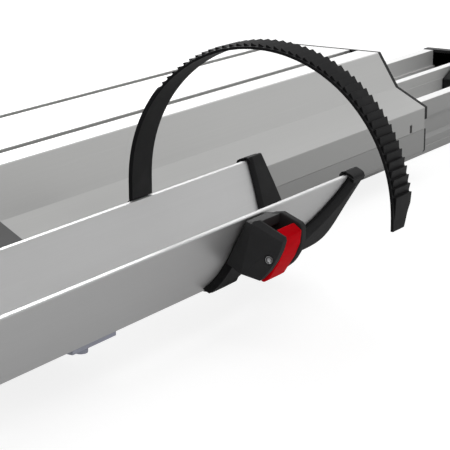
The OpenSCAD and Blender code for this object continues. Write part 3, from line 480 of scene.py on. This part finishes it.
def drafted(piece, wall, line, out, reach):
    # slants the side face under a line of places: its upper edge moves into the plate, less toward the line's ends
    for index, spot in enumerate(line):
        before, after = line[max(0, index - 1)], line[min(len(line) - 1, index + 1)]
        way = Vector((after[0] - before[0], after[1] - before[1])).normalized()
        into = Vector((abs(way.y), abs(way.x))) * reach * min(1, (index + 1) / 3, (len(line) - index) / 3)
        corner = Vector(wall(spot[0], spot[1], out))
        for vertex in piece.data.vertices:
            if (vertex.co * 1000 - corner).length < 0.15:
                vertex.co = Vector(wall(spot[0] + into.x, spot[1] + into.y, out)) * mm


def nearPlate():
    # the plate's outline on the near wall: down beside the hook, along the foot and back past the buckle
    foot, plate = holder["foot"], holder["plate"]
    inner = smoothed([(-60, 33.5), (-48, 33), (-37.5, 29.3), (-26.7, 23), (-17.6, 15.5), (-10.8, 8), (-7.5, 2),
                      (-8.5, -0.4)])
    outer = smoothed([(6.9, -0.6), (4, 3), (1.4, 10), (-2, 20), (-6.2, 34), (-11, 41), (-19, 44.4), (-30, foot)])
    low = [(-100, foot), (-104, 42), (-110, 41), (-119, foot), (-143, foot)]
    left = smoothed([(-143, foot), (-136, 43), (-131.5, 38), (-128.5, 30), (-127.5, 17), (-126.5, 4)])
    buckleSide = smoothed([(-126.5, 4), (-120, 3.4), (-100, 4), (-92, 11), (-84, 22), (-74, 29), (-60, 33.5)])
    outline = inner + outer + low + left[1:] + buckleSide[1:-1]
    near = plateOn(onNearWall, "holder", outline, holder["gap"], plate)
    crown = plateOn(onNearWall, "crown", outline, holder["gap"] + plate - 0.1, holder["skin"] - plate + 0.1)
    drafted(crown, onNearWall, inner[:-1], holder["gap"] + holder["skin"], holder["slant"])
    return near, crown


def farArm():
    to = holder["armTo"]
    outline = [(to - 4, -0.4), (to - 1.6, 1.6), (to - 0.3, 5), (to, 10), (to, 50), (to - 1.5, 51), (-32, 51),
               (-32, 36), (-27, 29), (-16, 15), (-9.5, 6), (-4, -1)]
    return plateOn(onFarWall, "arm", outline, holder["gap"], holder["skin"])


def farBand():
    # the band inside the far wall, and what joins it to the hook
    to, down, thick = holder["armTo"], holder["bandDown"], holder["band"]
    edge = [(-6, -0.9), (-8, 8), (-11, 20), (-15, 33), (-18.5, down)]
    band = plateOn(onFarWall, "band", edge + [(to - 1.5, down), (to - 2, 20), (to - 3.5, -0.9)], innerFace, -thick)
    drafted(band, onFarWall, [edge[0]] * 2 + edge + [edge[-1]] * 2, innerFace - thick, holder["bandSlant"])
    fill = plateOn(onFarWall, "fill", [(0.2, -0.9), (0.2, down - 4), (to - 1.6, down - 4), (to - 3.5, -0.9)],
                   innerFace - thick / 2, 7)
    return band, fill


def acrossBottom():
    # the saddle under the wheel, and the tab that holds it to the plate's foot
    y, z = (nearRimY + farRimY) / 2, holder["floorZ"]
    foot, inside, outside = holder["foot"], holder["gap"], holder["gap"] + holder["skin"]
    saddleLine = ((-127, 0), (-127, -6), (-90, -6), (-36, 4), (-4, 14), (-4, 23.8), (-34, 23.8), (-70, 12))
    saddle = drawnSolid("saddle", [(hookX + a, y + b, z) for a, b in saddleLine], (0, 0, holder["saddle"]))
    tabLine = [(y, z), (y - 15, z), onNearWall(0, foot, outside)[1:], onNearWall(0, 42, outside)[1:],
               onNearWall(0, 42, inside)[1:], onNearWall(0, foot + 2.8, inside)[1:], (y, z + 5)]
    tab = drawnSolid("tab", [(hookX - 127, *place) for place in tabLine], (holder["tab"], 0, 0))
    return saddle, tab


def makeHolder():
    near, crown = nearPlate()
    hook = wrapOverRim(onNearWall, "hook", holder["hookFrom"], holder["hookTo"])
    arm = farArm()
    farHook = wrapOverRim(onFarWall, "farHook", holder["farHookFrom"], holder["farHookTo"])
    band, fill = farBand()
    saddle, tab = acrossBottom()
    for width, parts in (("thinRound", (near, fill, tab)), ("hookRound", (hook, farHook)),
                         ("round", (crown, arm, band, saddle))):
        for part in parts:
            soften(part, holder[width], steps=3, angle=28, smooth=50)
    return joined("holder", near, crown, hook, arm, farHook, band, fill, saddle, tab)


atCorners(makeHolder(), "holder")
print("holders made")


# Ratchet buckle: two cheeks, a bridge with a web, recesses round the pin
buckle = {
    "cheekIn": 10.0, "cheek": 5.0, "seat": 5.25,   # seat: the holder plate's outer face
    "cut": 3.5,                                    # the broad chamfer
    "foldTop": (-7.6, -2.7), "foldLow": (-0.9, -30.7), "flare": (5.0, 4.65, -1.3),
    "pinY": nearRimY - 19.2, "pinZ": rimZ - 20, "recess": 2.9, "recessDeep": 3.2,
    "round": 0.7, "farRound": 0.8, "bridgeRound": 0.6,
}


def shellFace(z):
    return nearRimY + (rimZ - z) * math.tan(lean) - buckle["seat"] / math.cos(lean)


def makeBuckle():
    y, z = nearRimY, rimZ
    inner, outer = buckle["cheekIn"], buckle["cheekIn"] + buckle["cheek"]
    root, foot = (shellFace(z) - 0.2, z), [(y - 1, z - 30.9), (shellFace(z - 26.4), z - 26.4)]
    nearLine = [root, (y - 10.8, z + 1), (y - 27.7, z - 6.4), (y - 28.1, z - 8.6), (y - 26.5, z - 14),
                (y - 23.4, z - 20.4), (y - 18.8, z - 27.2), (y - 13.6, z - 32.9)] + foot
    farNose = smoothed([(y - 24.4, z - 3.6), (y - 26.2, z - 7), (y - 25.4, z - 17), (y - 22.3, z - 23.5),
                        (y - 19, z - 28), (y - 13.6, z - 32.5)], 3)
    farLine = [root, (y - 12.6, z + 1)] + [tuple(p) for p in farNose] + foot
    bridgeLine = [(y - 3.4, z - 5), (y - 0.2, z - 3.4), (y - 1.4, z - 1), (y - 11.7, z + 0.4), (y - 11.7, z - 5),
                  (y - 4.5, z - 11), (y + 3.75, z - 26), (shellFace(z - 26), z - 26)]
    cheek = drawnSolid("cheek", [(strapX - outer, a, b) for a, b in nearLine], (buckle["cheek"], 0, 0))
    putDown()
    pinEnd = Vector((strapX - outer, buckle["pinY"], buckle["pinZ"]))
    bpy.ops.mesh.primitive_cylinder_add(vertices=40, radius=buckle["recess"] * mm, depth=buckle["recessDeep"] * mm,
                                        location=pinEnd * mm, rotation=(0, math.pi / 2, 0))
    drill = bpy.context.object
    useModifier(cheek, "BOOLEAN", operation="DIFFERENCE", object=drill, solver="EXACT")
    bpy.data.objects.remove(drill)
    editMesh(cheek)
    # the broad chamfer along the top of the outer face
    pickEdges(cheek, lambda mid, way: abs(mid.x - strapX + outer) < 0.1 and abs(way.x) < 0.1
              and mid.z > z - 3.2 and mid.y < y - 13 and abs(way.y) > 10)
    bpy.ops.mesh.bevel(offset=buckle["cut"] * mm, segments=1, affect="EDGES")
    # the outer face folds back toward the wall along a slanting line
    top, low = (Vector((0, y + a, z + b)) for a, b in (buckle["foldTop"], buckle["foldLow"]))
    across = (low - top).cross(Vector((1, 0, 0))).normalized()
    wallWay = 1 if across.y > 0 else -1
    bpy.ops.mesh.select_all(action="SELECT")
    bpy.ops.mesh.bisect(plane_co=top * mm, plane_no=across)
    pickVertices(cheek, lambda place: (place - top).dot(across) * wallWay > 0.3 and place.x < strapX - outer + 0.1)
    bpy.ops.transform.translate(value=Vector(buckle["flare"]) * mm)
    putDown()
    farCheek = drawnSolid("farCheek", [(strapX + inner, a, b) for a, b in farLine], (buckle["cheek"], 0, 0))
    bridge = drawnSolid("bridge", [(strapX - inner - 0.2, a, b) for a, b in bridgeLine],
                        (inner + outer - 0.8, 0, 0))
    soften(cheek, buckle["round"], angle=25, smooth=35)
    soften(farCheek, buckle["farRound"], angle=35, smooth=45)
    soften(bridge, buckle["bridgeRound"], angle=25, smooth=45)
    return joined("buckle", cheek, farCheek, bridge)


atCorners(makeBuckle(), "buckle")


# Red lever: a thick facetted tongue between the cheeks
lever = {"half": 9.65, "round": 1.1}


def makeLever():
    y, z = nearRimY, rimZ
    outline = [(y - 21, z - 3.1), (y - 26.6, z - 7.1), (y - 25.7, z - 14.6), (y - 22.4, z - 22.6),
               (y - 15.6, z - 33.4), (y - 12.4, z - 35.6), (y - 10.2, z - 34.2), (y - 10.8, z - 30.5),
               (y - 14.4, z - 24.6), (y - 15.0, z - 16.5), (y - 17.6, z - 13), (y - 20, z - 8)]
    tongue = drawnSolid("lever", [(strapX - lever["half"], a, b) for a, b in outline], (2 * lever["half"], 0, 0))
    soften(tongue, lever["round"], steps=3, angle=25, smooth=35)
    return tongue


atCorners(makeLever(), "lever")
print("buckles and levers made")


# Strap: one long bend with saw teeth on its back, smooth at the root and on the tapered tail
strap = {
    "width": 20.4, "border": 1.5, "farBorder": 0.5,        # smooth borders beside the teeth
    "rise": 12.0, "bend": 83.6, "turn": 175,               # straight root, then one bend of so many degrees
    "tail": 14.2, "tailBend": 130.0,
    "cut": 7.0, "cutBeyond": -250.0,                       # the tail narrows by its cut, on that side of Y
    "thick": 2.8, "web": 1.7, "tooth": 1.7, "pitch": 4.6, "smoothRoot": 58.0,
    "round": 0.35, "toothRound": 0.25, "rootRound": 0.4,
    "rootWidth": 18.5, "eye": 3.6,
    "footY": farRimY - 1.8, "footZ": rimZ + 0.5,
}


def strapPoint(along, out):
    # a point at a distance along the strap's inner face, raised from it
    y, z = strap["footY"], strap["footZ"]
    bendLength = strap["bend"] * math.radians(strap["turn"])

    def turned(y, z, start, radius, angle):
        return (y - radius * (math.cos(start) - math.cos(start + angle)),
                z + radius * (math.sin(start + angle) - math.sin(start)), start + angle)

    z += min(along, strap["rise"])
    angle = 0.0
    if along > strap["rise"]:
        y, z, angle = turned(y, z, 0, strap["bend"], min(along - strap["rise"], bendLength) / strap["bend"])
    if along > strap["rise"] + bendLength:
        y, z, angle = turned(y, z, angle, strap["tailBend"],
                             (along - strap["rise"] - bendLength) / strap["tailBend"])
    return y + out * math.cos(angle), z + out * math.sin(angle)


def makeStrap():
    web, tooth, pitch = strap["web"], strap["tooth"], strap["pitch"]
    bendEnd = strap["rise"] + strap["bend"] * math.radians(strap["turn"])
    first = strap["rise"] + strap["smoothRoot"]
    count = int((bendEnd + 5 - first) / pitch)
    end = bendEnd + strap["tail"]
    tailStart = first + (count - 1) * pitch
    back = [strapPoint(first * k / 16, strap["thick"]) for k in range(17)] \
        + [strapPoint(first + 2 + (end - first - 2) * k / 60, web) for k in range(61)]
    face = [strapPoint(end * k / 70, 0) for k in range(70, -1, -1)]
    saw = [strapPoint(first - 1, 0.6), strapPoint(first - 1, strap["thick"] - 0.2)]
    for k in range(count - 1):
        start = first + k * pitch
        saw += [strapPoint(start + 0.3, web + tooth), strapPoint(start + pitch * 0.55, web + tooth * 0.42),
                strapPoint(start + pitch, web - 0.1)]
    # the last tooth runs out into the tail
    saw += [strapPoint(tailStart + 0.3, web + tooth), strapPoint(tailStart + 6, web + 0.7),
            strapPoint(tailStart + 14, web - 0.1)]
    saw += [strapPoint(tailStart + 12 - (tailStart + 12 - first) * k / 60, 0.6) for k in range(60)]
    x0 = strapX - strap["width"] / 2
    ribbon = drawnSolid("strap", [(x0, a, b) for a, b in back + face], (strap["width"], 0, 0))
    teeth = drawnSolid("teeth", [(x0 + strap["border"], a, b) for a, b in saw],
                       (strap["width"] - strap["border"] - strap["farBorder"], 0, 0))
    # the tail narrows to its end on the side of the gutter's end
    tailTop = strapPoint(bendEnd, 0)[1]
    for vertex in list(ribbon.data.vertices) + list(teeth.data.vertices):
        place = vertex.co * 1000
        if place.y < strap["cutBeyond"] and place.x > strapX:
            vertex.co.x -= mm * strap["cut"] * min(1, max(0, (tailTop - place.z) / strap["tail"]))
    # the root turns down into an eye round its pin
    y, z, size = strap["footY"], strap["footZ"], strap["eye"]
    eyeY, eyeZ = farRimY + 2.2, rimZ - 7.5
    turns = [math.radians(20 - 20 * k) for k in range(11)]
    ring = [(eyeY + size * math.cos(a), eyeZ + size * math.sin(a)) for a in turns]
    rootLine = [(y + 2.8, z + 4), (y + 2.8, z), (eyeY + 3.2, eyeZ + 3.4)] + ring \
        + [(eyeY - size, eyeZ + 1.5), (eyeY - size, eyeZ + 3), (farRimY + 0.6, z), (y + 0.1, z), (y + 0.1, z + 4)]
    root = drawnSolid("root", [(strapX - strap["rootWidth"] / 2, a, b) for a, b in rootLine],
                      (strap["rootWidth"], 0, 0))
    soften(ribbon, strap["round"], angle=50, smooth=30)
    soften(teeth, strap["toothRound"], angle=50, smooth=30)
    soften(root, strap["rootRound"], angle=40, smooth=35)
    return joined("strap", ribbon, teeth, root)


atCorners(makeStrap(), "strap")
print("straps made")


# Rollers: turned wheels with a hub, a web and a rounded tread, modelled once and copied to their places
roller = {
    "half": 7.5, "tread": 15.0, "bore": 4.08, "hub": 6.5, "web": 12.3, "recess": 1.2, "groove": 0.9,
    "first": (90, -30, 19.3),                              # its middle, and how far the others are from it
    "away": {"roller_near_inner": (0, 0, 0), "roller_near_outer": (410, 0, 0),
             "roller_far_inner": (0, 60, 0), "roller_far_outer": (410, 60, 0)},
}


def makeRoller():
    # one side of the section from the bore out to the tread's groove, then the other side back
    half, tread, deep, groove = roller["half"], roller["tread"], roller["recess"], roller["groove"]
    hub, web = roller["hub"], roller["web"]
    side = [(roller["bore"], -half), (hub, -half), (hub + 0.3, deep - half), (web - 0.5, deep - half),
            (web, -half), (tread - 0.9, -half), (tread, 1 - half), (tread, -groove - 0.3), (tread - 0.9, -groove)]
    centre = Vector(roller["first"])
    points = [centre + Vector((0, w, r)) for r, w in side + [(r, -w) for r, w in reversed(side)]]
    wheel = walked("roller", points + points[:1])
    bpy.ops.mesh.select_all(action="SELECT")
    bpy.ops.mesh.spin(steps=64, angle=math.tau, center=centre * mm, axis=(0, 1, 0))
    bpy.ops.mesh.select_all(action="SELECT")
    bpy.ops.mesh.remove_doubles(threshold=0.005 * mm)
    turnOut()
    settled(wheel)
    bpy.ops.object.shade_smooth_by_angle(angle=math.radians(40))
    return wheel


wheel = makeRoller()
for nodeName, away in roller["away"].items():
    piece = copied(wheel, nodeName + "_piece")
    shifted(piece, lambda place: True, away)
    dress(piece, nodeName)
bpy.data.objects.remove(wheel)

# The other pieces keep the frame's shape with their edges broken, by these widths in millimetres
edgeBreak = {
    "base_cap_rear": 0.8, "base_cap_front": 0.8, "catch_rear": 0.8, "catch_front": 0.8, "front_glides": 0.8,
    "side_rail_caps": 0.6, "deck_cap_rear": 0.6, "deck_cap_front": 0.6, "rod_guides": 1.2, "groove_pads": 0.6,
    "arm_plates": 0.6, "gutter_bars": 0.6, "gutter_bolts": 0.5, "arm_screws": 0.35, "bar_screws": 0.35,
    "cross_screws": 0.3, "release_grip": 1.2, "release_rod": 0.4, "strap_anchors": 0.4, "latch_pawl": 0.4,
    "latch_bracket": 0.3, "gutter_near": 0.3, "gutter_far": 0.3, "base_rail": 0.3, "side_rails": 0.3,
    "deck_cover": 0.3, "roller_brackets": 0.4, "roller_axles": 0.5, "lever_pins": 0.25, "strap_pins": 0.25,
    "latch_pin": 0.3,
}
for nodeName, width in edgeBreak.items():
    roundedNode(nodeName, width)

# Against the frame, in millimetres
fitting = {"undersides": {"gutter_bars": 1.8, "gutter_bolts": 3.0},
           "pinEdge": 0.9, "pinHollow": 1.1, "trimOut": 1.2}

# The bars under the gutters and their bolts end a little higher
for nodeName, lift in fitting["undersides"].items():
    piece = bpy.data.objects[nodeName + "_piece"]
    lowest = min(vertex.co.z for vertex in piece.data.vertices) * 1000
    shifted(piece, lambda place: place.z < lowest + 1.5, (0, 0, lift))

# The lever pins have a hollow in each end
pins = bpy.data.objects["lever_pins_piece"]
editMesh(pins)
bpy.ops.mesh.select_mode(type="FACE")
for side in (-1, 1):
    mesh = bmesh.from_edit_mesh(pins.data)
    bpy.ops.mesh.select_all(action="DESELECT")
    for flat in mesh.faces:
        flat.select = flat.normal.x * side > 0.99 and flat.calc_area() > 6e-6
    bmesh.update_edit_mesh(pins.data)
    bpy.ops.mesh.inset(thickness=fitting["pinEdge"] * mm, use_even_offset=False)
    bpy.ops.mesh.extrude_region_move(TRANSFORM_OT_translate={"value": (-fitting["pinHollow"] * mm * side, 0, 0)})
bpy.ops.mesh.select_mode(type="VERT")
pickUp(pins)
bpy.ops.object.shade_smooth_by_angle(angle=math.radians(30))

# The cover's end trims stand out a little further
for nodeName, side in (("deck_cap_rear", 1), ("deck_cap_front", -1)):
    trim = bpy.data.objects[nodeName + "_piece"]
    limit = max(vertex.co.x * side for vertex in trim.data.vertices) * 1000
    shifted(trim, lambda place: place.x * side > limit - 0.8, (fitting["trimOut"] * side, 0, 0))
print("edges broken on", len(edgeBreak), "pieces")

# What is left of the frame keeps its solid and gets its finish
for nodeName, solid in frame["nodes"].items():
    if not solid.hide_render:
        solid.data.materials.clear()
        solid.data.materials.append(finishes[slotOf[nodeName]])

# Floor, light and camera. A lamp's numbers are its strength, height, heading from +X toward +Y, and spread.
studio = {
    "floor": (0.30, 0.30, 0.30), "floorBounce": (0.55, 0.55, 0.55), "floorSize": 24, "floorZ": -0.0005,
    "shown": 0.84, "glow": 0.25,                   # the floor's own light, toward the camera and elsewhere
    "sky": 0.31,                                   # the world's light on the carrier
    "lamps": {"back_panel": (3.7, 24, 60, 40), "top_panel": (0.9, 75, -100, 60)},
}
view = {"lens": 136.16, "sensor": 36, "near": 0.02, "far": 60,
        "place": (-0.6486, -0.6738, 0.3173), "down": 14.948, "heading": 32.086}

putDown()
bpy.ops.mesh.primitive_plane_add(size=studio["floorSize"], location=(0, 0, studio["floorZ"]))
floor = bpy.context.object
floor.name = "studio_floor"
paper = Finish("studio_paper", Roughness=0.9, Specular_IOR_Level=0.0, Emission_Strength=1.0)
toCamera = paper.add("ShaderNodeLightPath", out="Is Camera Ray")
paper.look(Base_Color=paper.blend(toCamera, studio["floorBounce"], studio["floor"]),
           Emission_Color=paper.blend(toCamera, (studio["glow"],) * 3, (studio["shown"],) * 3))
floor.data.materials.append(paper.material)

world = bpy.data.worlds.new("studio")
bpy.context.scene.world = world
world.use_nodes = True
tree = world.node_tree
tree.nodes.clear()
seen = addNode(tree, "ShaderNodeLightPath", out="Is Camera Ray").maths(
    "MAXIMUM", addNode(tree, "ShaderNodeLightPath", out="Is Glossy Ray"))
sky = addNode(tree, "ShaderNodeBackground", {},
              {"Color": (1.0, 1.0, 1.0), "Strength": seen * (1 - studio["sky"]) + studio["sky"]})
plug(tree, tree.nodes.new("ShaderNodeOutputWorld").inputs[0], sky)

for name, (strength, *angles) in studio["lamps"].items():
    height, heading, spread = (math.radians(angle) for angle in angles)
    light = bpy.data.lights.new(name, "SUN")
    light.energy = strength
    light.angle = spread
    lamp = bpy.data.objects.new(name, light)
    bpy.context.scene.collection.objects.link(lamp)
    away = Vector((math.cos(height) * math.cos(heading), math.cos(height) * math.sin(heading), math.sin(height)))
    lamp.rotation_euler = away.to_track_quat("Z", "Y").to_euler()

cameraData = bpy.data.cameras.new("photo_camera")
cameraData.sensor_width = view["sensor"]
cameraData.lens = view["lens"]
cameraData.clip_start, cameraData.clip_end = view["near"], view["far"]
photoCamera = bpy.data.objects.new("photo_camera", cameraData)
bpy.context.scene.collection.objects.link(photoCamera)
photoCamera.location = view["place"]
photoCamera.rotation_euler = (math.radians(90 - view["down"]), 0, math.radians(view["heading"] - 90))
bpy.context.scene.camera = photoCamera
bpy.context.scene.view_settings.view_transform = "Standard"
print("studio set")
